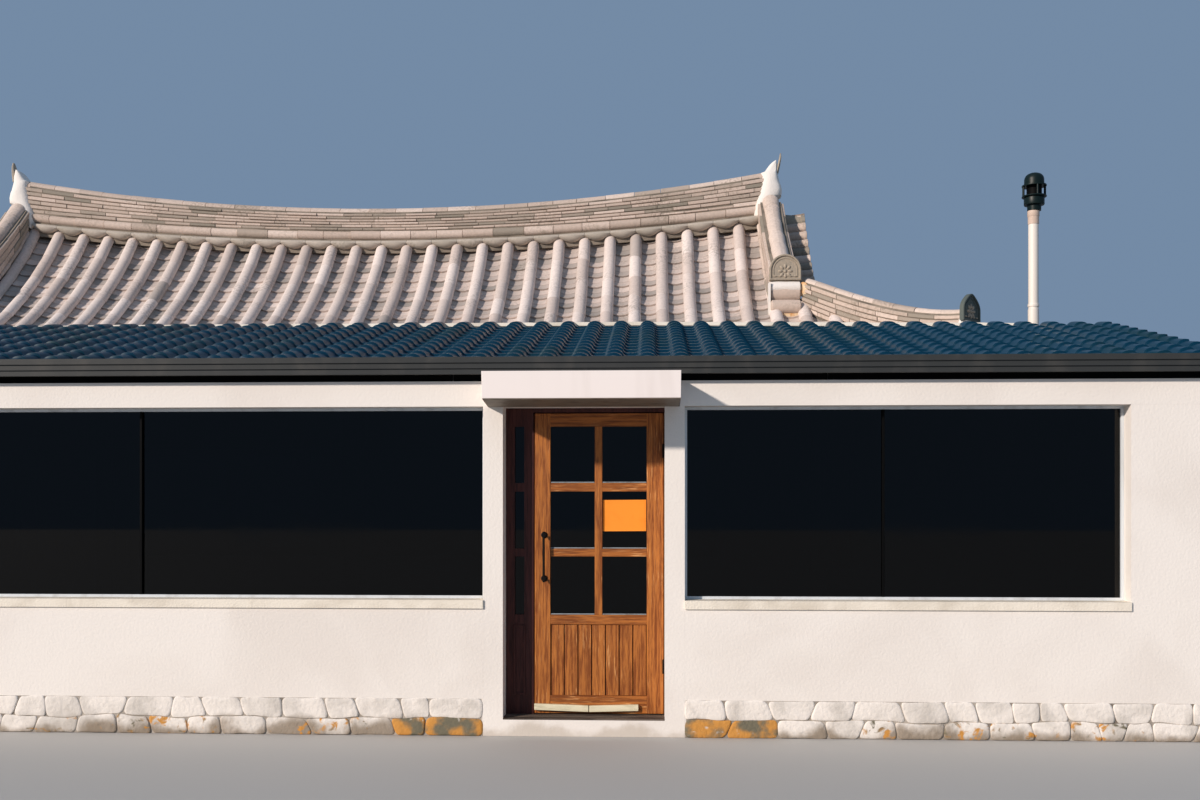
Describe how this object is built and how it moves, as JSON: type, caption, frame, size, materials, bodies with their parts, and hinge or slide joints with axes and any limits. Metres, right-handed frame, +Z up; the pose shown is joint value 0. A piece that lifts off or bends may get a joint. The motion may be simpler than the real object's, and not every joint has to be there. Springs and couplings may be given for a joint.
{
  "type": "hanok house",
  "caption": "Traditional house with a hip-and-gable tile roof, a glazed shop front under a metal lean-to roof, a bare sign box, a panelled glass door that swings out and a vent stack",
  "frame": {"origin": "on the ground, under the middle of the whole outline", "axes": "+X to the right as seen from the street, +Y from the shop front back to the tiled house, +Z up"},
  "size_m": [13.606, 9.005, 5.755],
  "materials": {
    "concrete": "matt",
    "rubble": "rough, whitewashed",
    "plaster": "matt",
    "cream_mortar": "matt",
    "timber": "oiled",
    "door_wood": "worn varnish",
    "maroon_wood": "worn paint",
    "grey_wood": "weathered",
    "iron": "dark",
    "frame_metal": "satin",
    "glass": "clear",
    "sign_panel": "satin",
    "teal_metal": "satin",
    "charcoal_metal": "satin",
    "roof_tile": "weathered, unglazed",
    "pipe_plastic": "satin",
    "cap_metal": "satin"
  },
  "bodies": {
    "house": {"floor_slab": "concrete", "base_front_left": "rubble", "base_front_right": "rubble", "sill_wall_left": "plaster", "sill_wall_right": "plaster", "window_sill_left": "cream_mortar", "window_sill_right": "cream_mortar", "side_wall_left": "plaster", "side_wall_right": "plaster", "frieze_beam": "plaster", "door_surround": "plaster", "threshold": "grey_wood", "door_frame": "maroon_wood", "sidelight_glass": "glass", "hinge_lower": "iron", "hinge_upper": "iron", "window_frame_left": "frame_metal", "window_glass_left": "glass", "window_frame_right": "frame_metal", "window_glass_right": "glass", "sign_box": "sign_panel", "leanto_roof": "teal_metal", "eave_fascia": "charcoal_metal", "leanto_bent": "timber", "hanok_wall_left": "plaster", "glass_left": "glass", "hanok_wall_right": "plaster", "glass_right": "glass", "hanok_wall_back": "plaster", "glass_back": "glass", "hanok_bent": "timber", "roof_front": "roof_tile", "roof_back": "roof_tile", "roof_left": "roof_tile", "roof_right": "roof_tile", "gable_left": "plaster", "gable_right": "plaster", "verge_left": "roof_tile", "verge_right": "roof_tile", "valley_flashing": "cream_mortar", "ridge_main": "roof_tile", "descending_ridge_front_left": "roof_tile", "descending_ridge_front_right": "roof_tile", "descending_ridge_back_left": "roof_tile", "descending_ridge_back_right": "roof_tile", "hip_ridge_front_left": "roof_tile", "hip_ridge_front_right": "roof_tile", "hip_ridge_back_left": "roof_tile", "hip_ridge_back_right": "roof_tile", "vent_pipe": "pipe_plastic", "vent_cap": "cap_metal"},
    "door": {"door_leaf": "door_wood", "door_glass": "glass", "door_panel": "door_wood", "door_handle": "iron"}
  },
  "joints": [
    {"name": "door_hinge", "type": "hinge", "parent": "house", "child": "door", "pos_m": [2.7984, -3.8251, 1.2], "axis": [0, 0, 1], "range_deg": [0, 90]}
  ]
}
